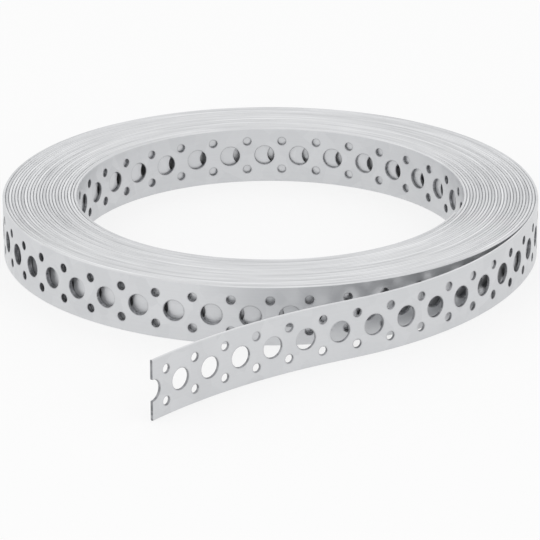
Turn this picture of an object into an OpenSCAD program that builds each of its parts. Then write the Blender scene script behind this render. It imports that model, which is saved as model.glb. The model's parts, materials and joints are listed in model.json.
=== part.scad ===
// Perforated steel strap, a ten metre roll of fixing band.
// One flat strip of steel, wound on edge into a flat coil, with its free end
// leading off the outer turn. The coil lies on its side: the floor is z = 0 and
// the coil's axis is the Z axis. All sizes are in millimetres.

/* [Strap] */
// Width of the strip, which is also the height of the coil
strap_w = 17; // [15:0.5:25]
// Thickness of the steel
strap_t = 0.8; // [0.6:0.05:1.2]
// Bevel that stands for the rounded long edges of the slit strip
edge_bevel = 0.2; // [0.1:0.05:0.25]

/* [Coil] */
// Radius of the open middle, at the inner face of the first turn
bore_r = 56; // [40:1:75]
// Number of turns
turns = 24; // [12:1:30]
// Air left between one turn and the next
turn_gap = 0.1; // [0.06:0.02:0.2]

/* [Perforation] */
// Distance between large holes along the strip
hole_pitch = 10.7; // [10:0.1:16]
// Diameter of the large holes on the centre line
large_d = 6; // [4:0.1:7]
// Diameter of the small holes
small_d = 2.5; // [1.5:0.1:3]
// Distance of a small hole from the centre line
small_offset = 4.5; // [4:0.1:5]

/* [Free end] */
// Angle round the coil at which the free end leaves it
leave_angle = -16; // [-60:1:30]
// How much wider than the coil the free end's first bend is
leave_widening = 28; // [20:1:100]
// Angle of the first bend, which still follows the coil
leave_bend = 45; // [20:1:60]
// Length of the straight run between the two bends
straight_run = 9; // [6:1:60]
// Radius of the bend near the tip, which turns away from the coil
tip_radius = 160; // [60:5:200]
// Angle of the bend near the tip
tip_bend = 22; // [10:1:40]

/* [Hidden] */

steel_grey = [0.82, 0.83, 0.84];
coil_fn = 180;
hole_fn = 32;

// The winding: each turn is a far and a near half circle, whose centres lie half a pitch apart
winding_pitch = strap_t + turn_gap;
centre_shift = winding_pitch / 2;
near_r = bore_r;
far_r = bore_r + centre_shift;
inner_turn = 0;
outer_turn = turns - 1;
groove_depth = edge_bevel + turn_gap / 2;

// The free end, followed along the middle of the steel
end_r = bore_r + turns * winding_pitch + strap_t / 2;
leave_radius = end_r + leave_widening;
leave_length = arc_length(leave_radius, leave_bend);
tip_length = arc_length(tip_radius, tip_bend);
tail_length = leave_length + straight_run + tip_length;

// Places along the strip, counted from its tip
coil_length = turns * (turn_length(inner_turn) + turn_length(outer_turn)) / 2;
strip_length = tail_length + coil_length;
outer_turn_end = tail_length + turn_length(outer_turn);
inner_turn_start = strip_length - turn_length(inner_turn);

// How far a hole's cutter runs on: into free air, up to a neighbour, and past the face it opens
free_run = 0.5;
near_run = turn_gap / 2;
least_run = turn_gap / 10;

function arc_length(radius, angle) = radius * angle * PI / 180;
function arc_angle(radius, length) = length / radius * 180 / PI;
// Radius of the middle of the steel on the two halves of a turn
function far_middle(turn) = far_r + turn * winding_pitch + strap_t / 2;
function near_middle(turn) = near_r + turn * winding_pitch + strap_t / 2;
function turn_length(turn) = arc_length(far_middle(turn) + near_middle(turn), 180);
// How far a round face falls away at the edge of a hole drilled square to it
function hole_sag(radius) = large_d * large_d / (8 * radius);
function reversed(list) = [for (i = [len(list) - 1 : -1 : 0]) list[i]];

// Section of the strip, upright, with its middle on x = 0
module strip_section() {
    half = strap_t / 2;
    polygon([
        [-half, edge_bevel],
        [-half + edge_bevel, 0],
        [half - edge_bevel, 0],
        [half, edge_bevel],
        [half, strap_w - edge_bevel],
        [half - edge_bevel, strap_w],
        [-half + edge_bevel, strap_w],
        [-half, strap_w - edge_bevel],
    ]);
}

// One end of the wound section, from the bore outwards, at height z. The bevelled
// edges of neighbouring turns meet in a groove, which points along into: 1 up, -1 down.
function coil_end(first_r, z, into) = [
    [first_r, z + into * edge_bevel],
    for (turn = [inner_turn : outer_turn])
        let (
            face_r = first_r + turn * winding_pitch,
            back_r = face_r + strap_t
        )
        each [
            [face_r + edge_bevel, z],
            [back_r - edge_bevel, z],
            turn < outer_turn
                ? [back_r + turn_gap / 2, z + into * groove_depth]
                : [back_r, z + into * edge_bevel],
        ],
];

// Half of the coil, turned about its own centre from angle 0 to 180
module half_coil(first_r) {
    rotate_extrude(angle = 180, $fn = coil_fn)
        polygon(concat(coil_end(first_r, 0, 1), reversed(coil_end(first_r, strap_w, -1))));
}

// The half of the coil that the free end leads away from, seam on the X axis
module near_half() {
    rotate([0, 0, 180])
        half_coil(near_r);
}

// The half of the coil that ends in the free end
module far_half() {
    translate([centre_shift, 0, 0])
        half_coil(far_r);
}

// Places its children on the free end, at a length back from where it leaves the coil,
// upright, with +X pointing away from the coil and +Y back along the strip
module on_tail(from_coil) {
    past_bend = from_coil - leave_length;
    past_run = past_bend - straight_run;
    translate([end_r - leave_radius, 0, 0])
        if (past_bend <= 0)
            rotate([0, 0, -arc_angle(leave_radius, from_coil)])
                translate([leave_radius, 0, 0])
                    children();
        else
            rotate([0, 0, -leave_bend])
                translate([leave_radius + tip_radius, -min(past_bend, straight_run), 0])
                    rotate([0, 0, arc_angle(tip_radius, max(past_run, 0))])
                        translate([-tip_radius, 0, 0])
                            children();
}

// Places its children on a turn of the coil, at a length on from the turn's outer end,
// upright, with +X pointing outwards
module on_turn(turn, along) {
    far_length = arc_length(far_middle(turn), 180);
    if (along <= far_length)
        translate([centre_shift, 0, 0])
            rotate([0, 0, arc_angle(far_middle(turn), along)])
                translate([far_middle(turn), 0, 0])
                    children();
    else
        rotate([0, 0, 180 + arc_angle(near_middle(turn), along - far_length)])
            translate([near_middle(turn), 0, 0])
                children();
}

// Places its children at a length from the tip, on the free end, the outer or the inner turn
module on_strip(from_tip) {
    if (from_tip <= tail_length)
        on_tail(tail_length - from_tip)
            children();
    else if (from_tip <= outer_turn_end)
        on_turn(outer_turn, from_tip - tail_length)
            children();
    else
        on_turn(inner_turn, from_tip - inner_turn_start)
            children();
}

// The free end: a bend that follows the coil, a straight run, a bend away from it
module tail() {
    on_tail(leave_length)
        translate([-leave_radius, 0, 0])
            rotate_extrude(angle = leave_bend, $fn = coil_fn)
                translate([leave_radius, 0])
                    strip_section();
    on_tail(leave_length)
        rotate([90, 0, 0])
            linear_extrude(straight_run)
                strip_section();
    on_tail(leave_length + straight_run)
        translate([tip_radius, 0, 0])
            rotate([0, 0, 180])
                rotate_extrude(angle = tip_bend, $fn = coil_fn)
                    translate([tip_radius, 0])
                        strip_section();
}

// A cutter square to the strip, from depth inside its middle to reach outside it
module hole_cutter(diameter, height, depth, reach) {
    translate([-depth, 0, height])
        rotate([0, 90, 0])
            cylinder(d = diameter, h = depth + reach, $fn = hole_fn);
}

module large_hole(depth, reach) {
    hole_cutter(large_d, strap_w / 2, depth, reach);
}

// The two small holes that sit side by side, one near each long edge
module small_holes(depth, reach) {
    for (side = [-1, 1])
        hole_cutter(small_d, strap_w / 2 + side * small_offset, depth, reach);
}

// The pattern between two lengths from the tip: a large hole at every pitch from the
// tip on, and a pair of small holes halfway between, so the tip is cut through a large hole
module pattern(from, to, depth, reach) {
    half_pitch = hole_pitch / 2;
    for (i = [ceil(from / half_pitch) : floor(to / half_pitch)])
        on_strip(i * half_pitch)
            if (i % 2 == 0)
                large_hole(depth, reach);
            else
                small_holes(depth, reach);
}

module perforation() {
    half = strap_t / 2;
    through = half + hole_sag(min(end_r, tip_radius)) + least_run;
    to_next_turn = half + turn_gap;
    pattern(0, tail_length, through, half + free_run);
    // The outer turn is open down to the turn below it
    pattern(tail_length, outer_turn_end, to_next_turn, half + near_run);
    // The inner turn is open, from the bore, to the turn behind it
    pattern(inner_turn_start, strip_length, half + free_run, to_next_turn);
}

module strap() {
    color(steel_grey)
        rotate([0, 0, leave_angle])
            difference() {
                union() {
                    near_half();
                    far_half();
                    tail();
                }
                perforation();
            }
}

strap();
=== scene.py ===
"""Dress the perforated steel strap: one punched strip, wound into a coil with a free end."""
import json
import logging
import math
from dataclasses import dataclass, field
from enum import Enum
from functools import cached_property
from typing import Any, ClassVar, Sequence

import bpy
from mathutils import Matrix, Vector
from mathutils.geometry import area_tri, delaunay_2d_cdt


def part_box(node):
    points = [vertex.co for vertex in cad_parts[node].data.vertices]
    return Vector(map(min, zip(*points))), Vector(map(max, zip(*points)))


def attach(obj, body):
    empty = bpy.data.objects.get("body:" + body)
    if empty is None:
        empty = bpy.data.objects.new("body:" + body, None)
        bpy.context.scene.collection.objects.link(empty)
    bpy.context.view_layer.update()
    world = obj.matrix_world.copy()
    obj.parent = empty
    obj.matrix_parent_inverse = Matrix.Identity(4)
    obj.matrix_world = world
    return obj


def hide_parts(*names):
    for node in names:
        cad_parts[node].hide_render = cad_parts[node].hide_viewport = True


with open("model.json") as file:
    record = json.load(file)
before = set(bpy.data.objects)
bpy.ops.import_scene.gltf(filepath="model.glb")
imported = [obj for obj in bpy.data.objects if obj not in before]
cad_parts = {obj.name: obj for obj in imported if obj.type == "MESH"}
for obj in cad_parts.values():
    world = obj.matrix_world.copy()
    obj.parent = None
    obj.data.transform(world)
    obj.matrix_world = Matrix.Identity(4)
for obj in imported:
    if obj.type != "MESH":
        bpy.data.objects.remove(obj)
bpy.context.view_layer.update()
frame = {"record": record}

NODE = "strap"
BODY = "root"
MM = 0.001

# Points of a flat cell that lie closer than this are one point
SNAP = 1e-4 * MM
# A triangle smaller than this is only a line, but for rounding
LEAST_AREA = SNAP * SNAP
# Share of its radius by which a point on a hole's rim may be off
RIM_TOLERANCE = 1e-4
# Half of the step from one cell's number to the next
HALF_STEP = 0.5
# Signs of the strip's lower and upper half
HALVES = (-1, 1)
# Half of a whole turn, in degrees
HALF_TURN = 180.0

log = logging.getLogger("strap")

Point2 = tuple[float, float]
Point3 = tuple[float, float, float]
Colour = tuple[float, float, float, float]
Socket = bpy.types.NodeSocket


class Layer(str, Enum):
    """Names of the mesh layers that the strip carries from its cells to its finish."""

    FLAT_NORMAL = "flat_normal"
    PUNCHED = "punched"
    STRIP_MAP = "strip_map"


class Turn(Enum):
    """Which way a route bends, seen from above."""

    LEFT = 1
    RIGHT = -1


class Side(Enum):
    """The two broad faces of the strip: away from the coil's axis, and towards it."""

    OUTER = 1
    INNER = -1


class End(Enum):
    """The two ends of a stretch of strip: nearer its tip, and nearer its end in the bore."""

    TIP = -1
    BORE = 1


def mount_radius(name: str) -> float:
    """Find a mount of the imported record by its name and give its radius, in metres."""
    found = next(entry for entry in frame["record"]["mounts"] if entry["name"] == name)
    return found["dims"]["r_mm"] * MM


def add_object(name: str, data: bpy.types.ID) -> bpy.types.Object:
    """Put a mesh, a curve, a lamp or a camera into the scene.

    Args:
        name: The object's name.
        data: What the object holds.

    Returns:
        The object, at the origin.
    """
    made = bpy.data.objects.new(name, data)
    bpy.context.scene.collection.objects.link(made)
    return made


def toward(angle: float) -> Vector:
    """Make a step of length 1 on the floor, at an angle from the X axis in radians."""
    return Vector((math.cos(angle), math.sin(angle)))


@dataclass(frozen=True)
class StripSizes:
    """Section and hole pattern of the flat strip, in metres."""

    width: float
    large_radius: float
    small_radius: float
    thickness: float = 0.8 * MM
    pitch: float = 10.7 * MM
    small_offset: float = 4.5 * MM
    edge_bevel: float = 0.2 * MM
    punch_bevel: float = 0.1 * MM
    large_steps: int = 22
    small_steps: int = 12
    edge_steps: int = 4

    @classmethod
    def from_frame(cls) -> "StripSizes":
        """Take the width from the CAD node and the hole sizes from its mounts."""
        low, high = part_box(NODE)
        return cls(
            width=high.z - low.z,
            large_radius=mount_radius("large_hole_1"),
            small_radius=mount_radius("small_hole_1_low"),
        )

    @property
    def half_width(self) -> float:
        """Half of the strip's width."""
        return self.width / 2

    @property
    def half_thickness(self) -> float:
        """Half of the steel's thickness."""
        return self.thickness / 2

    @property
    def plate_half_width(self) -> float:
        """Half of the width that is left between the two edge bevels."""
        return self.half_width - self.edge_bevel


@dataclass(frozen=True)
class WindingSizes:
    """How the strip is wound and how its free end runs, in metres and degrees."""

    bore_radius: float
    turns: int = 24
    turn_gap: float = 0.1 * MM
    leave_angle: float = -16.0
    leave_widening: float = 28 * MM
    leave_bend: float = 45.0
    straight_run: float = 9 * MM
    tip_radius: float = 160 * MM
    tip_bend: float = 22.0
    open_turns: int = 3
    edge_wander: float = 0.16 * MM
    wander_waves: float = 2.6

    @classmethod
    def from_frame(cls) -> "WindingSizes":
        """Take the bore from the CAD node's own mount."""
        return cls(bore_radius=mount_radius("coil_bore"))


class FlatMesh:
    """Collects the faces of one flat cell, with an exact normal for every corner."""

    def __init__(self) -> None:
        """Start with no vertex and no face."""
        self.vertices: list[Point3] = []
        self.faces: list[list[int]] = []
        self.normals: list[Point3] = []
        self.punched: list[bool] = []
        self._index: dict[tuple[int, ...], int] = {}

    def vertex(self, point: Point3) -> int:
        """Find or add a vertex.

        Args:
            point: Its place in the flat strip.

        Returns:
            The vertex's number.
        """
        key = tuple(round(number / SNAP) for number in point)
        if key not in self._index:
            self._index[key] = len(self.vertices)
            self.vertices.append(point)
        return self._index[key]

    def face(self, points: Sequence[Point3], normals: Sequence[Point3], punched: bool = False) -> None:
        """Add one face.

        Args:
            points: Its corners, anticlockwise as seen from outside.
            normals: One normal for each corner.
            punched: Whether the face is a wall that the punch made.
        """
        self.faces.append([self.vertex(point) for point in points])
        self.normals.extend(normals)
        self.punched.append(punched)

    def to_object(self, name: str) -> bpy.types.Object:
        """Make a mesh object of the collected faces.

        Args:
            name: The object's name.

        Returns:
            The object, in the scene, with its layers filled.
        """
        mesh = bpy.data.meshes.new(name)
        mesh.from_pydata(self.vertices, [], self.faces)
        normals = mesh.attributes.new(Layer.FLAT_NORMAL.value, "FLOAT_VECTOR", "CORNER")
        normals.data.foreach_set("vector", [number for normal in self.normals for number in normal])
        punched = mesh.attributes.new(Layer.PUNCHED.value, "BOOLEAN", "FACE")
        punched.data.foreach_set("value", self.punched)
        return add_object(name, mesh)


@dataclass(frozen=True)
class Hole:
    """A round hole of the flat strip, or the part of one that lies in a cell."""

    centre: Point2
    radius: float
    start: float
    sweep: float
    steps: int

    def angles(self) -> list[float]:
        """List the angles of the points round the hole, both ends included."""
        return [self.start + self.sweep * i / self.steps for i in range(self.steps + 1)]

    def rim(self, widening: float) -> list[Point2]:
        """List the points round the hole, widened so much, anticlockwise, both ends included."""
        (x, y), reach = self.centre, self.radius + widening
        return [(x + reach * math.cos(angle), y + reach * math.sin(angle)) for angle in self.angles()]

    def opens(self, corners: Sequence[Point2], widening: float) -> bool:
        """Say whether a face's corners all lie in the hole, widened so much, or on its rim."""
        reach = (self.radius + widening) * (1 + RIM_TOLERANCE)
        return all(math.dist(corner, self.centre) < reach for corner in corners)


@dataclass(frozen=True)
class StripCells:
    """Flat cells of the strip, each one pitch long, from one large hole's middle to the next.

    In a cell, X runs along the strip, Y across it and Z out of its outer face.
    """

    strip: StripSizes

    def perforated(self) -> FlatMesh:
        """Build the cell with its holes.

        Returns:
            The cell's faces, open at both ends.
        """
        holes = self._large_halves() + self._small_pair()
        rims = [hole.rim(self.strip.punch_bevel) for hole in holes]
        cell = self._body(self._plate_triangles(rims, holes))
        for hole in holes:
            self._add_punched_wall(cell, hole)
        return cell

    def plain(self) -> FlatMesh:
        """Build a cell without holes, open at both ends, for turns that lie hidden in the coil."""
        rims = [hole.rim(self.strip.punch_bevel) for hole in self._large_halves()]
        return self._body(self._plate_triangles([[rim[0], rim[-1]] for rim in rims], []))

    def end_cap(self, end: End) -> FlatMesh:
        """Build the cut end of the strip, above and below the half hole that it was cut through.

        Args:
            end: Which end of the strip it is.

        Returns:
            Two faces that close the last cell.
        """
        outline = self._rim_profile() + self._edge_profile()[::-1]
        cap = FlatMesh()
        for half in HALVES:
            self._add_section(cap, [(half * y, z) for y, z in outline][::half], end)
        return cap

    def hole_stop(self, end: End) -> FlatMesh:
        """Build the wall that closes a half hole where the plain stretch of the strip begins.

        Args:
            end: Which end of the plain stretch it is.

        Returns:
            One face that closes the plain cell there.
        """
        rim = self._rim_profile()
        stop = FlatMesh()
        self._add_section(stop, rim[::-1] + [(-y, z) for y, z in rim], end)
        return stop

    def _columns(self) -> list[float]:
        """List the places along the cell where its long edges have a vertex."""
        count = self.strip.edge_steps
        return [self.strip.pitch * i / count for i in range(count + 1)]

    def _large_halves(self) -> list[Hole]:
        """List the halves of large holes at the cell's two ends.

        Returns:
            The half at the tip's end, then the other.
        """
        radius, steps = self.strip.large_radius, self.strip.large_steps // 2
        quarter = math.pi / 2
        return [
            Hole((0.0, 0.0), radius, -quarter, math.pi, steps),
            Hole((self.strip.pitch, 0.0), radius, quarter, math.pi, steps),
        ]

    def _small_pair(self) -> list[Hole]:
        """List the two small holes in the cell's middle.

        Returns:
            The lower hole, then the upper.
        """
        strip = self.strip
        centres = [(strip.pitch / 2, half * strip.small_offset) for half in HALVES]
        return [Hole(centre, strip.small_radius, 0.0, math.tau, strip.small_steps) for centre in centres]

    def _punch_profile(self) -> list[Point2]:
        """List how much wider than its hole a punched wall is, and how far out, from outside in."""
        bevel, out = self.strip.punch_bevel, self.strip.half_thickness
        return [(bevel, out), (0.0, out - bevel), (0.0, bevel - out), (bevel, -out)]

    def _rim_profile(self) -> list[Point2]:
        """List the section of a large hole's wall, as places across the strip and out of it."""
        return [(self.strip.large_radius + wide, out) for wide, out in self._punch_profile()]

    def _edge_profile(self) -> list[Point2]:
        """List the section of a bevelled long edge.

        Returns:
            Places across the strip and out of it, from the outer face in.
        """
        plate, edge = self.strip.plate_half_width, self.strip.half_width
        out = self.strip.half_thickness
        flat = out - self.strip.edge_bevel
        return [(plate, out), (edge, flat), (edge, -flat), (plate, -out)]

    def _plate_triangles(
        self, rims: Sequence[Sequence[Point2]], holes: Sequence[Hole]
    ) -> list[list[Point2]]:
        """Divide the broad face along the rims that it has to meet.

        Args:
            rims: Lines of points that the triangles keep as edges.
            holes: The holes that the face is open at.

        Returns:
            Triangles, anticlockwise as seen from the outer face.
        """
        edge = self.strip.plate_half_width
        borders = [[(x, half * edge) for x in self._columns()] for half in HALVES]
        points: list[Vector] = []
        lines: list[tuple[int, int]] = []
        for chain in [*rims, *borders]:
            first = len(points)
            points += [Vector(point) for point in chain]
            lines += [(first + i, first + i + 1) for i in range(len(chain) - 1)]
        found, _, faces, *_ = delaunay_2d_cdt(points, lines, [], 0, SNAP)
        triangles = []
        for face in faces:
            corners = [(found[i].x, found[i].y) for i in face]
            is_open = any(hole.opens(corners, self.strip.punch_bevel) for hole in holes)
            if not is_open and area_tri(*(found[i] for i in face)) > LEAST_AREA:
                triangles.append(corners)
        return triangles

    def _body(self, triangles: Sequence[Sequence[Point2]]) -> FlatMesh:
        """Build both broad faces and both long edges of a cell.

        Args:
            triangles: The faces of one broad face, anticlockwise as seen from the outer face.

        Returns:
            The cell's faces, open at both ends and at its holes.
        """
        cell = FlatMesh()
        for side in Side:
            z = side.value * self.strip.half_thickness
            normal = (0.0, 0.0, float(side.value))
            for corners in triangles:
                points = [(x, y, z) for x, y in corners][::side.value]
                cell.face(points, [normal] * len(points))
        self._add_long_edges(cell)
        return cell

    def _add_long_edges(self, cell: FlatMesh) -> None:
        """Add the two bevelled long edges of the strip to a cell.

        Args:
            cell: The cell that takes the faces.
        """
        slant = math.sqrt(0.5)
        facing = [(slant, slant), (1.0, 0.0), (slant, -slant)]
        profile, columns = self._edge_profile(), self._columns()
        for half in HALVES:
            for (y0, z0), (y1, z1), (across, out) in zip(profile, profile[1:], facing):
                for x0, x1 in zip(columns, columns[1:]):
                    section = [(x0, y0, z0), (x1, y0, z0), (x1, y1, z1), (x0, y1, z1)]
                    points = [(x, half * y, z) for x, y, z in section][::half]
                    cell.face(points, [(0.0, half * across, out)] * len(points))

    def _add_punched_wall(self, cell: FlatMesh, hole: Hole) -> None:
        """Add the wall of a hole to a cell.

        Args:
            cell: The cell that takes the faces.
            hole: The hole.
        """
        profile, angles = self._punch_profile(), hole.angles()
        tilts = (math.pi / 4, 0.0, -math.pi / 4)
        for (upper_wide, z0), (lower_wide, z1), tilt in zip(profile, profile[1:], tilts):
            upper, lower = hole.rim(upper_wide), hole.rim(lower_wide)
            inward, out = -math.cos(tilt), math.sin(tilt)
            for i in range(hole.steps):
                points = [(*upper[i], z0), (*upper[i + 1], z0), (*lower[i + 1], z1), (*lower[i], z1)]
                normals = [
                    (inward * math.cos(angle), inward * math.sin(angle), out)
                    for angle in (angles[i], angles[i + 1], angles[i + 1], angles[i])
                ]
                cell.face(points, normals, punched=True)

    def _add_section(self, cell: FlatMesh, section: Sequence[Point2], end: End) -> None:
        """Add a flat face across the strip, at one end of a cell.

        Args:
            cell: The cell that takes the face.
            section: Places across and out, anticlockwise as seen from the bore's end.
            end: Which end of the cell it closes.
        """
        x = 0.0 if end is End.TIP else self.strip.pitch
        points = [(x, y, z) for y, z in section][::end.value]
        cell.face(points, [(float(end.value), 0.0, 0.0)] * len(points), punched=True)


@dataclass
class Route:
    """A line on the floor that is drawn step by step from a start and a heading."""

    place: Vector
    heading: float
    step_angle: float = 1.0
    straight_steps: int = 12
    points: list[Vector] = field(default_factory=list)

    def __post_init__(self) -> None:
        """Put the start on the line."""
        self.points.append(self.place.copy())

    def straight(self, length: float) -> "Route":
        """Go on in the same direction.

        Args:
            length: How far.

        Returns:
            The route itself.
        """
        steps, way = self.straight_steps, toward(self.heading)
        self.points += [self.place + way * (length * i / steps) for i in range(1, steps + 1)]
        self.place = self.points[-1].copy()
        return self

    def bend(self, radius: float, angle: float, turn: Turn) -> "Route":
        """Go round part of a circle.

        Args:
            radius: The circle's radius.
            angle: How far round, in degrees.
            turn: Which way.

        Returns:
            The route itself.
        """
        to_centre = self.heading + turn.value * math.pi / 2
        centre = self.place + radius * toward(to_centre)
        steps = round(angle / self.step_angle)
        first, sweep = to_centre + math.pi, turn.value * math.radians(angle)
        self.points += [centre + radius * toward(first + sweep * i / steps) for i in range(1, steps + 1)]
        self.place = self.points[-1].copy()
        self.heading += sweep
        return self


@dataclass(frozen=True)
class StrapRoute:
    """The way of the strip's middle, from the tip of its free end to its end in the bore."""

    strip: StripSizes
    winding: WindingSizes

    @property
    def winding_pitch(self) -> float:
        """Distance from one turn to the next."""
        return self.strip.thickness + self.winding.turn_gap

    @property
    def leave_place(self) -> float:
        """Distance from the coil's axis at which the free end leaves the coil."""
        wall = self.winding.turns * self.winding_pitch
        return self.winding.bore_radius + wall + self.strip.half_thickness

    @property
    def leave_radius(self) -> float:
        """Radius of the free end's first bend."""
        return self.leave_place + self.winding.leave_widening

    def half_turn_radii(self) -> list[float]:
        """List the radii of the half turns, about centres that lie half a pitch apart.

        Returns:
            Two radii for each turn, from the outside in.
        """
        first = self.winding.bore_radius + self.strip.half_thickness
        near = [first + turn * self.winding_pitch for turn in reversed(range(self.winding.turns))]
        return [radius for inner in near for radius in (inner + self.winding_pitch / 2, inner)]

    def tail_length(self) -> float:
        """Work out the length of the free end.

        Returns:
            The length along its two bends and the straight run between them.
        """
        leave_arc = self.leave_radius * math.radians(self.winding.leave_bend)
        tip_arc = self.winding.tip_radius * math.radians(self.winding.tip_bend)
        return leave_arc + self.winding.straight_run + tip_arc

    def open_length_outside(self) -> float:
        """Work out the length from the tip over which the holes can be seen."""
        radii = self.half_turn_radii()[: 2 * self.winding.open_turns]
        return self.tail_length() + math.pi * sum(radii)

    def open_length_inside(self) -> float:
        """Work out the length from the end in the bore over which the holes can be seen."""
        return math.pi * sum(self.half_turn_radii()[-2 * self.winding.open_turns :])

    def length(self) -> float:
        """Work out the length of the whole strip."""
        return self.tail_length() + math.pi * sum(self.half_turn_radii())

    def points(self) -> list[Point2]:
        """List points of the way, from the tip on.

        Returns:
            Points on the floor, in the frame of the part.
        """
        winding = self.winding
        start = Vector((self.leave_place, 0.0))
        tail = Route(start, -math.pi / 2).bend(self.leave_radius, winding.leave_bend, Turn.RIGHT)
        tail.straight(winding.straight_run).bend(winding.tip_radius, winding.tip_bend, Turn.LEFT)
        coil = Route(start, math.pi / 2)
        for radius in self.half_turn_radii():
            coil.bend(radius, HALF_TURN, Turn.LEFT)
        turned = math.radians(winding.leave_angle)
        cos, sin = math.cos(turned), math.sin(turned)
        way = tail.points[:0:-1] + coil.points
        return [(point.x * cos - point.y * sin, point.x * sin + point.y * cos) for point in way]

    def to_curve(self, name: str) -> bpy.types.Object:
        """Make a curve object of the way.

        Args:
            name: The object's name.

        Returns:
            The curve object, in the scene.
        """
        way = self.points()
        curve = bpy.data.curves.new(name, "CURVE")
        curve.dimensions = "3D"
        spline = curve.splines.new("POLY")
        spline.points.add(len(way) - 1)
        spline.points.foreach_set("co", [number for x, y in way for number in (x, y, 0.0, 1.0)])
        return add_object(name, curve)


class NodeBoard:
    """A node tree with short calls for adding nodes, links and named sockets."""

    # Sockets of a Mix node that is set to colours
    MIX_SHARE, MIX_FIRST, MIX_SECOND, MIX_RESULT = 0, 6, 7, 2

    def __init__(self, tree: bpy.types.NodeTree) -> None:
        """Work on a geometry or shader tree."""
        self.tree = tree

    @cached_property
    def given(self) -> Any:
        """What the group's named inputs hold, as sockets to link from."""
        return self.tree.nodes.new("NodeGroupInput").outputs

    def socket(self, name: str, kind: str, default: Any = None, output: bool = False) -> str:
        """Give the group a named input or output.

        Args:
            name: The socket's name.
            kind: Its type, such as NodeSocketFloat.
            default: Its value, where it has one.
            output: Whether it is an output.

        Returns:
            The socket's identifier.
        """
        way = "OUTPUT" if output else "INPUT"
        made = self.tree.interface.new_socket(name, in_out=way, socket_type=kind)
        if default is not None:
            made.default_value = default
        return made.identifier

    def feed(self, node: bpy.types.Node, inputs: dict[Any, Any]) -> None:
        """Link or set inputs of a node.

        Args:
            node: The node.
            inputs: What its inputs take: a socket to link from, or a value to set.
        """
        for key, value in inputs.items():
            if isinstance(value, Socket):
                self.tree.links.new(value, node.inputs[key])
            else:
                node.inputs[key].default_value = value

    def add(self, kind: str, inputs: dict[Any, Any] | None = None, **settings: Any) -> bpy.types.Node:
        """Add a node.

        Args:
            kind: The node's type.
            inputs: What its inputs take: a socket to link from, or a value to set.
            settings: Its other settings.

        Returns:
            The node.
        """
        node = self.tree.nodes.new(kind)
        for key, value in settings.items():
            setattr(node, key, value)
        self.feed(node, inputs or {})
        return node

    def math(self, operation: str, first: Any, second: Any = 0.0, clamp: bool = False) -> Socket:
        """Add a step between two numbers, each a socket or a value; clamp keeps it in 0 to 1."""
        inputs = {0: first, 1: second}
        return self.add("ShaderNodeMath", inputs, operation=operation, use_clamp=clamp).outputs[0]

    def near(self, value: Socket, aim: Any, reach: float) -> Socket:
        """Ask whether a number lies closer than a reach to another one."""
        away = self.math("ABSOLUTE", self.math("SUBTRACT", value, aim))
        return self.math("LESS_THAN", away, reach)

    def vector(self, operation: str, first: Any, second: Any) -> Socket:
        """Add a step between two vectors, each a socket or three numbers."""
        return self.add("ShaderNodeVectorMath", {0: first, 1: second}, operation=operation).outputs[0]

    def scaled(self, vector: Socket, factor: Socket) -> Socket:
        """Multiply a vector by a number."""
        inputs = {0: vector, "Scale": factor}
        return self.add("ShaderNodeVectorMath", inputs, operation="SCALE").outputs[0]

    def upward(self, length: Socket) -> Socket:
        """Make an upright vector of a length."""
        return self.add("ShaderNodeCombineXYZ", {"Z": length}).outputs[0]

    def parts(self, vector: Socket) -> Any:
        """Divide a vector into its three numbers."""
        return self.add("ShaderNodeSeparateXYZ", {0: vector}).outputs

    def layer(self, layer: Layer, kind: str) -> Socket:
        """Read a layer of the mesh."""
        node = self.add("GeometryNodeInputNamedAttribute", {"Name": layer.value}, data_type=kind)
        return node.outputs["Attribute"]

    def store(self, mesh: Socket, layer: Layer, value: Socket, kind: str) -> Socket:
        """Keep a value for each corner of a mesh, in a layer."""
        data = {"Geometry": mesh, "Name": layer.value, "Value": value}
        return self.add("GeometryNodeStoreNamedAttribute", data, data_type=kind, domain="CORNER").outputs[0]

    def blend(self, share: Socket, first: Any, second: Any) -> Socket:
        """Mix two colours, each a socket or four numbers, by a share of the second."""
        inputs = {self.MIX_SHARE: share, self.MIX_FIRST: first, self.MIX_SECOND: second}
        return self.add("ShaderNodeMix", inputs, data_type="RGBA").outputs[self.MIX_RESULT]


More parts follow.
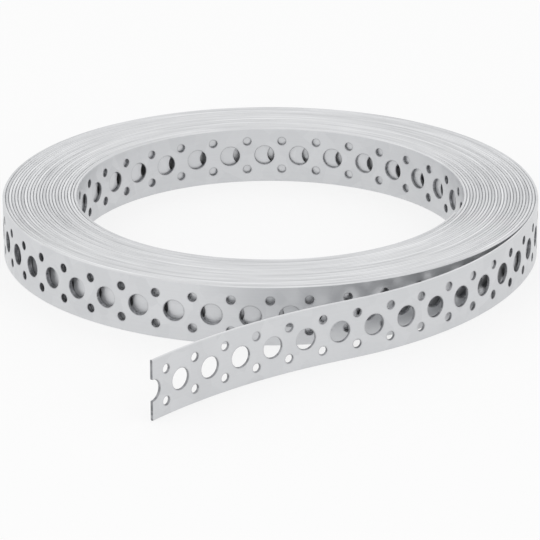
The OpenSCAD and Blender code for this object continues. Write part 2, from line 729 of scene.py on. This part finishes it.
@dataclass(frozen=True)
class StrapTree:
    """The Geometry Nodes tree that lays cells in a row and bends the row along the route."""

    CELLS: ClassVar[tuple[str, ...]] = (
        "Perforated cell",
        "Plain cell",
        "Tip cap",
        "Bore cap",
        "Outer stop",
        "Inner stop",
    )
    INPUTS: ClassVar[dict[str, tuple[str, ...]]] = {
        "NodeSocketGeometry": ("Geometry",),
        "NodeSocketObject": (*CELLS, "Route"),
        "NodeSocketFloat": ("Pitch", "Lift", "Edge wander", "Wander waves"),
        "NodeSocketInt": ("Cells", "Open cells outside", "Open cells inside"),
        "NodeSocketMaterial": ("Zinc face", "Punched wall"),
    }
    weld: float = 0.006 * MM
    seed: float = 7.0
    wander_detail: float = 1.0

    def build(self) -> tuple[bpy.types.NodeTree, dict[str, str]]:
        """Build the tree.

        Returns:
            The tree, and the identifier of each named input.
        """
        tree = bpy.data.node_groups.new("wound_strap", "GeometryNodeTree")
        board = NodeBoard(tree)
        ids = {name: board.socket(name, kind) for kind, names in self.INPUTS.items() for name in names}
        board.socket("Geometry", "NodeSocketGeometry", output=True)
        wound = self._wind(board, self._lay_row(board))
        zinc = {"Geometry": wound, "Material": board.given["Zinc face"]}
        faced = board.add("GeometryNodeSetMaterial", zinc).outputs[0]
        punched = board.layer(Layer.PUNCHED, "BOOLEAN")
        walls = {"Geometry": faced, "Selection": punched, "Material": board.given["Punched wall"]}
        done = board.add("GeometryNodeSetMaterial", walls).outputs[0]
        board.add("NodeGroupOutput", {0: done})
        return tree, ids

    def _lay_row(self, board: NodeBoard) -> Socket:
        """Lay the flat strip out along X, one cell to a pitch.

        Args:
            board: The tree in work.

        Returns:
            The strip as one flat mesh.
        """
        step = board.add("ShaderNodeCombineXYZ", {"X": board.given["Pitch"]}).outputs[0]
        line = board.add("GeometryNodeMeshLine", {"Count": board.given["Cells"], "Offset": step})
        join = board.add("GeometryNodeJoinGeometry")
        for name, chosen in zip(self.CELLS, self._choices(board)):
            cell = board.add("GeometryNodeObjectInfo", {"Object": board.given[name], "As Instance": True})
            copies = {"Points": line.outputs[0], "Selection": chosen, "Instance": cell.outputs["Geometry"]}
            laid = board.add("GeometryNodeInstanceOnPoints", copies)
            board.tree.links.new(laid.outputs[0], join.inputs[0])
        return board.add("GeometryNodeRealizeInstances", {0: join.outputs[0]}).outputs[0]

    def _choices(self, board: NodeBoard) -> list[Socket]:
        """Choose the places in the row that each kind of cell takes.

        Args:
            board: The tree in work.

        Returns:
            For each kind of cell, in the order of CELLS, a socket that is 1 where it goes.
        """
        index = board.add("GeometryNodeInputIndex").outputs[0]
        first_plain = board.given["Open cells outside"]
        last = board.math("SUBTRACT", board.given["Cells"], 1.0)
        last_plain = board.math("SUBTRACT", last, board.given["Open cells inside"])
        open_outside = board.math("LESS_THAN", index, first_plain)
        open_inside = board.math("GREATER_THAN", index, board.math("ADD", last_plain, HALF_STEP))
        is_open = board.math("MAXIMUM", open_outside, open_inside)
        single = [board.near(index, aim, HALF_STEP) for aim in (0.0, last, first_plain, last_plain)]
        return [is_open, board.math("SUBTRACT", 1.0, is_open), *single]

    def _wind(self, board: NodeBoard, row: Socket) -> Socket:
        """Bend the flat strip along the route and turn its normals with it.

        Args:
            board: The tree in work.
            row: The flat strip.

        Returns:
            The wound strip, welded, with its own map and its turned normals in a layer.
        """
        flat = board.add("GeometryNodeInputPosition").outputs[0]
        along, across, out = board.parts(flat)
        mapped = board.store(row, Layer.STRIP_MAP, flat, "FLOAT2")
        route = board.add("GeometryNodeObjectInfo", {"Object": board.given["Route"]})
        reached = {"Curves": route.outputs["Geometry"], "Length": along}
        sampled = board.add("GeometryNodeSampleCurve", reached, mode="LENGTH").outputs
        forward = sampled["Tangent"]
        outward = board.vector("CROSS_PRODUCT", forward, (0.0, 0.0, 1.0))
        lifted = board.math("ADD", across, board.given["Lift"])
        height = board.math("ADD", lifted, self._wander(board, along))
        place = board.vector("ADD", sampled["Position"], board.upward(height))
        place = board.vector("ADD", place, board.scaled(outward, out))
        facing = board.parts(board.layer(Layer.FLAT_NORMAL, "FLOAT_VECTOR"))
        turned = board.vector("ADD", board.scaled(forward, facing[0]), board.scaled(outward, facing[2]))
        turned = board.vector("ADD", turned, board.upward(facing[1]))
        kept = board.store(mapped, Layer.FLAT_NORMAL, turned, "FLOAT_VECTOR")
        bent = board.add("GeometryNodeSetPosition", {"Geometry": kept, "Position": place})
        joint = {"Geometry": bent.outputs[0], "Distance": self.weld}
        welded = board.add("GeometryNodeMergeByDistance", joint)
        return board.add("GeometryNodeSetShadeSmooth", {"Geometry": welded.outputs[0]}).outputs[0]

    def _wander(self, board: NodeBoard, along: Socket) -> Socket:
        """Let the strip's edge rise and fall a little along its length, as wound strip does.

        Args:
            board: The tree in work.
            along: Length along the strip.

        Returns:
            How much higher the strip lies there.
        """
        seeded = board.math("ADD", along, self.seed)
        waves = {"W": seeded, "Scale": board.given["Wander waves"], "Detail": self.wander_detail}
        noise = board.add("ShaderNodeTexNoise", waves, noise_dimensions="1D")
        return board.math("MULTIPLY", noise.outputs[0], board.given["Edge wander"])


class Effect:
    """A shader group that reads a place on the strip and puts out tones and masks."""

    name: ClassVar[str]
    inputs: ClassVar[dict[str, float]] = {}
    outputs: ClassVar[tuple[str, ...]]

    def group(self) -> bpy.types.NodeTree:
        """Find the effect's group, or build it.

        Returns:
            A group that takes a place on the strip and the effect's own inputs.
        """
        if self.name in bpy.data.node_groups:
            return bpy.data.node_groups[self.name]
        tree = bpy.data.node_groups.new(self.name, "ShaderNodeTree")
        board = NodeBoard(tree)
        board.socket("Place", "NodeSocketVector")
        for name, default in self.inputs.items():
            board.socket(name, "NodeSocketFloat", default)
        for name in self.outputs:
            board.socket(name, "NodeSocketFloat", output=True)
        board.add("NodeGroupOutput", dict(zip(self.outputs, self._draw(board))))
        return tree

    def put(self, board: NodeBoard, place: Socket, values: dict[str, float] | None = None) -> Any:
        """Put the effect's group into a material's tree, and give the group's output sockets."""
        inputs = {"Place": place} | (values or {})
        return board.add("ShaderNodeGroup", inputs, node_tree=self.group()).outputs

    def _draw(self, board: NodeBoard) -> Sequence[Socket]:
        """Add the effect's nodes to its group, and list what the group's outputs take."""
        raise NotImplementedError


class SpangleEffect(Effect):
    """Crystals of a zinc coat: patches that differ a little in tone and gloss."""

    name = "zinc_spangle"
    inputs = {"Crystals per metre": 220.0}
    outputs = ("Tone", "Gloss")

    def _draw(self, board: NodeBoard) -> Sequence[Socket]:
        """Draw two numbers for each crystal.

        Args:
            board: The group's tree.

        Returns:
            The crystal's tone and its gloss.
        """
        grain = {"Vector": board.given["Place"], "Scale": board.given["Crystals per metre"]}
        cells = board.add("ShaderNodeTexVoronoi", grain, voronoi_dimensions="3D")
        return board.add("ShaderNodeSeparateColor", {0: cells.outputs["Color"]}).outputs[:2]


@dataclass(frozen=True)
class RollingEffect(Effect):
    """Fine lines along the strip from the rolls that it ran through."""

    name = "rolling_lines"
    outputs = ("Lines",)
    stretch: Point3 = (6.0, 1500.0, 400.0)
    detail: float = 3.0
    roughness: float = 0.6

    def _draw(self, board: NodeBoard) -> Sequence[Socket]:
        """Stretch a noise along the strip.

        Args:
            board: The group's tree.

        Returns:
            The lines' strength.
        """
        drawn = board.vector("MULTIPLY", board.given["Place"], self.stretch)
        grain = {"Vector": drawn, "Scale": 1.0, "Detail": self.detail, "Roughness": self.roughness}
        return [board.add("ShaderNodeTexNoise", grain).outputs[0]]


@dataclass(frozen=True)
class PunchRimShadeEffect(Effect):
    """The ring round every hole of the pattern: the rim that the punch burnishes, and painted shade at the
    hole's edge.
    """

    name = "punch_rim_and_shade"
    outputs = ("Rim",)
    strip: StripSizes
    ring: float = 0.45 * MM

    def _draw(self, board: NodeBoard) -> Sequence[Socket]:
        """Measure how near a place is to the nearest hole's rim.

        Args:
            board: The group's tree.

        Returns:
            1 at a rim, falling to 0 a ring's width away.
        """
        strip = self.strip
        along, across, _ = board.parts(board.given["Place"])
        aside = board.math("ABSOLUTE", across)
        from_large = board.math("PINGPONG", along, strip.pitch / 2)
        from_small = board.math("SUBTRACT", strip.pitch / 2, from_large)
        beside_small = board.math("SUBTRACT", aside, strip.small_offset)
        large = self._ring(board, from_large, aside, strip.large_radius)
        small = self._ring(board, from_small, beside_small, strip.small_radius)
        return [board.math("MAXIMUM", large, small)]

    def _ring(self, board: NodeBoard, along: Socket, across: Socket, radius: float) -> Socket:
        """Measure how near a place is to one hole's rim.

        Args:
            board: The group's tree.
            along: Distance from the hole's middle along the strip.
            across: Distance from the hole's middle across it.
            radius: The hole's radius.

        Returns:
            1 at the rim, falling to 0 a ring's width away.
        """
        squares = board.math("ADD", board.math("POWER", along, 2.0), board.math("POWER", across, 2.0))
        beyond = board.math("SUBTRACT", board.math("SQRT", squares), radius)
        return board.math("SUBTRACT", 1.0, board.math("DIVIDE", beyond, self.ring), clamp=True)


@dataclass(frozen=True)
class SlitEdgeEffect(Effect):
    """Bare steel along the two long edges, where the strip was slit from a wider sheet."""

    name = "slit_edge"
    outputs = ("Edge", "Tone")
    strip: StripSizes
    patches_per_metre: float = 14.0
    detail: float = 3.0
    roughness: float = 0.6

    def _draw(self, board: NodeBoard) -> Sequence[Socket]:
        """Tell the edges from the faces, and let their tone drift along the strip.

        Args:
            board: The group's tree.

        Returns:
            1 on the edges, falling to 0 where the faces start, and the tone.
        """
        along, across, _ = board.parts(board.given["Place"])
        beyond = board.math("SUBTRACT", board.math("ABSOLUTE", across), self.strip.plate_half_width)
        edge = board.math("DIVIDE", beyond, self.strip.edge_bevel, clamp=True)
        patches = {"W": along, "Scale": self.patches_per_metre}
        drift = patches | {"Detail": self.detail, "Roughness": self.roughness}
        noise = board.add("ShaderNodeTexNoise", drift, noise_dimensions="1D")
        return [edge, noise.outputs[0]]


class Finish:
    """A finish of the strip, as a material that reads the strip's own map."""

    name: ClassVar[str]

    def material(self) -> bpy.types.Material:
        """Build the material.

        Returns:
            The material, with its shader fed.
        """
        made = bpy.data.materials.new(self.name)
        made.use_nodes = True
        board = NodeBoard(made.node_tree)
        place = board.add("ShaderNodeUVMap", uv_map=Layer.STRIP_MAP.value).outputs[0]
        board.feed(made.node_tree.nodes["Principled BSDF"], self._surface(board, place))
        return made

    def _surface(self, board: NodeBoard, place: Socket) -> dict[str, Any]:
        """Add the finish's nodes to its material, and list what the shader's inputs take."""
        raise NotImplementedError


@dataclass(frozen=True)
class ZincFace(Finish):
    """Zinc-coated face of the strip: light grey, satin, faintly spangled."""

    name = "zinc_face"
    strip: StripSizes
    base: Colour = (0.690, 0.698, 0.712, 1.0)
    dark: Colour = (0.610, 0.619, 0.634, 1.0)
    # Tone of the ring round each hole: burnished steel, and painted shade at the hole's edge
    rim_and_shade_tone: Colour = (0.430, 0.437, 0.450, 1.0)
    edge_light: Colour = (0.940, 0.945, 0.955, 1.0)
    edge_dark: Colour = (0.330, 0.336, 0.348, 1.0)
    metallic: float = 0.85
    roughness: float = 0.36
    gloss_middle: float = 0.5
    gloss_spread: float = 0.12
    spangle_share: float = 0.45
    # How far the ring round each hole darkens the face: burnished rim and painted shade
    rim_and_shade_amount: float = 0.55
    edge_amount: float = 0.9
    line_depth: float = 0.006 * MM
    line_strength: float = 0.6

    def _surface(self, board: NodeBoard, place: Socket) -> dict[str, Any]:
        """Lay spangle, rolled lines, punched rims with painted shade and slit edges over each other.

        Args:
            board: The material's tree.
            place: The place on the strip.

        Returns:
            What each input of the shader takes.
        """
        spangle = SpangleEffect().put(board, place)
        lines = RollingEffect().put(board, place)["Lines"]
        rim = PunchRimShadeEffect(self.strip).put(board, place)["Rim"]
        slit = SlitEdgeEffect(self.strip).put(board, place)
        crystals = board.math("MULTIPLY", spangle["Tone"], self.spangle_share)
        drawn = board.math("MULTIPLY", lines, 1.0 - self.spangle_share)
        zinc = board.blend(board.math("ADD", crystals, drawn), self.dark, self.base)
        # Darken the face round every hole: the burnished rim, and painted shade at the hole's edge
        face = board.blend(board.math("MULTIPLY", rim, self.rim_and_shade_amount), zinc, self.rim_and_shade_tone)
        steel = board.blend(slit["Tone"], self.edge_dark, self.edge_light)
        colour = board.blend(board.math("MULTIPLY", slit["Edge"], self.edge_amount), face, steel)
        shine = board.math("SUBTRACT", spangle["Gloss"], self.gloss_middle)
        gloss = board.math("MULTIPLY", shine, self.gloss_spread)
        relief = {"Height": lines, "Distance": self.line_depth, "Strength": self.line_strength}
        return {
            "Base Color": colour,
            "Roughness": board.math("ADD", gloss, self.roughness),
            "Normal": board.add("ShaderNodeBump", relief).outputs[0],
            "Metallic": self.metallic,
        }


@dataclass(frozen=True)
class PunchedWall(Finish):
    """Bare steel in the holes and at the cut ends, torn by the punch."""

    name = "punched_wall"
    base: Colour = (0.36, 0.365, 0.38, 1.0)
    dark: Colour = (0.20, 0.205, 0.215, 1.0)
    metallic: float = 0.85
    roughness: float = 0.42
    crystals: float = 900.0

    def _surface(self, board: NodeBoard, place: Socket) -> dict[str, Any]:
        """Break the bare steel up into fine crystals.

        Args:
            board: The material's tree.
            place: The place on the strip.

        Returns:
            What each input of the shader takes.
        """
        grain = SpangleEffect().put(board, place, {"Crystals per metre": self.crystals})
        return {
            "Base Color": board.blend(grain["Tone"], self.dark, self.base),
            "Metallic": self.metallic,
            "Roughness": self.roughness,
        }


@dataclass(frozen=True)
class Strap:
    """The strap itself: one strip, from the tip of its free end to its end in the bore."""

    strip: StripSizes
    winding: WindingSizes
    name: str = "perforated_strap"

    def build(self) -> bpy.types.Object:
        """Wind the strip from its cells.

        Returns:
            The strap as a plain mesh, with its finishes, in its place.
        """
        cells, route = StripCells(self.strip), StrapRoute(self.strip, self.winding)
        flat = {
            "Perforated cell": cells.perforated(),
            "Plain cell": cells.plain(),
            "Tip cap": cells.end_cap(End.TIP),
            "Bore cap": cells.end_cap(End.BORE),
            "Outer stop": cells.hole_stop(End.TIP),
            "Inner stop": cells.hole_stop(End.BORE),
        }
        helpers = {name: cell.to_object(name) for name, cell in flat.items()}
        helpers["Route"] = route.to_curve("Route")
        values = helpers | {
            "Pitch": self.strip.pitch,
            "Lift": self.strip.half_width,
            "Edge wander": self.winding.edge_wander,
            "Wander waves": self.winding.wander_waves,
            "Cells": math.floor(route.length() / self.strip.pitch),
            "Open cells outside": math.ceil(route.open_length_outside() / self.strip.pitch),
            "Open cells inside": math.ceil(route.open_length_inside() / self.strip.pitch),
            "Zinc face": ZincFace(self.strip).material(),
            "Punched wall": PunchedWall().material(),
        }
        made = self._evaluate(values)
        for helper in helpers.values():
            bpy.data.objects.remove(helper)
        return made

    def dress(self, piece: bpy.types.Object) -> None:
        """Set the strap on its body, in the place of the CAD node.

        Args:
            piece: The strap's mesh.
        """
        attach(piece, BODY)
        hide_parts(NODE)

    def _evaluate(self, values: dict[str, Any]) -> bpy.types.Object:
        """Run the tree and keep its result as a plain mesh.

        Args:
            values: What each named input of the tree takes.

        Returns:
            The object, without modifiers.
        """
        made = add_object(self.name, bpy.data.meshes.new(self.name))
        tree, ids = StrapTree().build()
        modifier = made.modifiers.new("winding", "NODES")
        modifier.node_group = tree
        for name, value in values.items():
            modifier[ids[name]] = value
        graph = bpy.context.evaluated_depsgraph_get()
        wound = bpy.data.meshes.new_from_object(made.evaluated_get(graph))
        made.modifiers.remove(modifier)
        made.data = wound
        wound.name = self.name
        self._set_normals(wound)
        return made

    @staticmethod
    def _set_normals(mesh: bpy.types.Mesh) -> None:
        """Shade the mesh by the normals that the tree turned along the route.

        Args:
            mesh: The wound strip.
        """
        layer = mesh.attributes[Layer.FLAT_NORMAL.value]
        turned = [0.0] * (3 * len(mesh.loops))
        layer.data.foreach_get("vector", turned)
        mesh.attributes.remove(layer)
        mesh.normals_split_custom_set([turned[i : i + 3] for i in range(0, len(turned), 3)])


@dataclass(frozen=True)
class Lamp:
    """One soft square lamp, in metres and watts."""

    name: str
    place: Point3
    size: float
    power: float

    def hang(self, aim: Point3) -> None:
        """Put the lamp into the scene.

        Args:
            aim: The place that it looks at.
        """
        data = bpy.data.lights.new(self.name, "AREA")
        data.size = self.size
        data.energy = self.power
        lamp = add_object(self.name, data)
        lamp.location = self.place
        lamp.rotation_euler = (Vector(aim) - Vector(self.place)).to_track_quat("-Z", "Y").to_euler()


@dataclass(frozen=True)
class Studio:
    """Plain pale floor, soft light and the camera at the photograph's angle."""

    aim: Point3 = (0.34 * MM, -25.4 * MM, 2.1 * MM)
    distance: float = 980.6 * MM
    elevation: float = 21.06
    lens: float = 228.3
    floor_size: float = 6.0
    floor_colour: Colour = (0.92, 0.92, 0.92, 1.0)
    floor_glow: float = 0.72
    white: Colour = (1.0, 1.0, 1.0, 1.0)
    fill: float = 0.9
    lamps: tuple[Lamp, ...] = (
        Lamp("key", (-0.7, -1.8, 0.9), 2.2, 8.0),
        Lamp("side", (1.5, -0.9, 0.8), 1.4, 1.0),
        Lamp("back", (0.0, 2.0, 0.9), 2.2, 2.0),
    )

    def build(self) -> None:
        """Set up the whole studio."""
        self._floor()
        self._world()
        for lamp in self.lamps:
            lamp.hang(self.aim)
        self._camera()

    def _floor(self) -> None:
        """Lay the floor that the coil lies on."""
        half = self.floor_size / 2
        corners = [(-half, -half, 0.0), (half, -half, 0.0), (half, half, 0.0), (-half, half, 0.0)]
        mesh = bpy.data.meshes.new("floor")
        mesh.from_pydata(corners, [], [(0, 1, 2, 3)])
        mesh.materials.append(self._floor_material())
        floor = add_object("floor", mesh)

    def _floor_material(self) -> bpy.types.Material:
        """Build a pale paper that is shown as white and still takes a shadow.

        Returns:
            The material.
        """
        made = bpy.data.materials.new("studio_floor")
        made.use_nodes = True
        made.node_tree.nodes.clear()
        board = NodeBoard(made.node_tree)
        paper = board.add("ShaderNodeBsdfDiffuse", {"Color": self.floor_colour})
        glow = board.add("ShaderNodeEmission", {"Color": self.white, "Strength": 1.0})
        shown = board.math("MULTIPLY", self._shown(board), self.floor_glow)
        mixed = board.add("ShaderNodeMixShader", {0: shown, 1: paper.outputs[0], 2: glow.outputs[0]})
        board.add("ShaderNodeOutputMaterial", {0: mixed.outputs[0]})
        return made

    def _world(self) -> None:
        """Light the scene softly from all round, and show a white background."""
        world = bpy.data.worlds.new("studio")
        world.use_nodes = True
        world.node_tree.nodes.clear()
        board = NodeBoard(world.node_tree)
        shown = self._shown(board)
        soft = board.math("MULTIPLY", board.math("SUBTRACT", 1.0, shown), self.fill)
        strength = board.math("ADD", shown, soft)
        light = board.add("ShaderNodeBackground", {"Color": self.white, "Strength": strength})
        board.add("ShaderNodeOutputWorld", {0: light.outputs[0]})
        bpy.context.scene.world = world

    @staticmethod
    def _shown(board: NodeBoard) -> Socket:
        """Tell the rays that show the white background from those that only light the scene.

        Args:
            board: The tree in work.

        Returns:
            1 for rays from the camera, and for those that metal or glass sends on.
        """
        rays = board.add("ShaderNodeLightPath").outputs
        shown = board.math("MAXIMUM", rays["Is Camera Ray"], rays["Is Glossy Ray"])
        return board.math("MAXIMUM", shown, rays["Is Transmission Ray"])

    def _camera(self) -> None:
        """Set the camera where the photograph was taken from."""
        data = bpy.data.cameras.new("camera")
        data.lens = self.lens
        camera = add_object("camera", data)
        rise = math.radians(self.elevation)
        away = Vector((0.0, -math.cos(rise), math.sin(rise))) * self.distance
        camera.location = Vector(self.aim) + away
        camera.rotation_euler = (-away).to_track_quat("-Z", "Y").to_euler()
        bpy.context.scene.camera = camera


def main() -> None:
    """Build the studio and the strap, and report each piece."""
    logging.basicConfig(level=logging.INFO, format="%(name)s: %(message)s")
    bpy.context.scene.view_settings.view_transform = "Standard"
    Studio().build()
    strap = Strap(StripSizes.from_frame(), WindingSizes.from_frame())
    piece = strap.build()
    strap.dress(piece)
    piece.data.calc_loop_triangles()
    log.info("%s: %d triangles", piece.name, len(piece.data.loop_triangles))


if __name__ == "__main__":
    main()
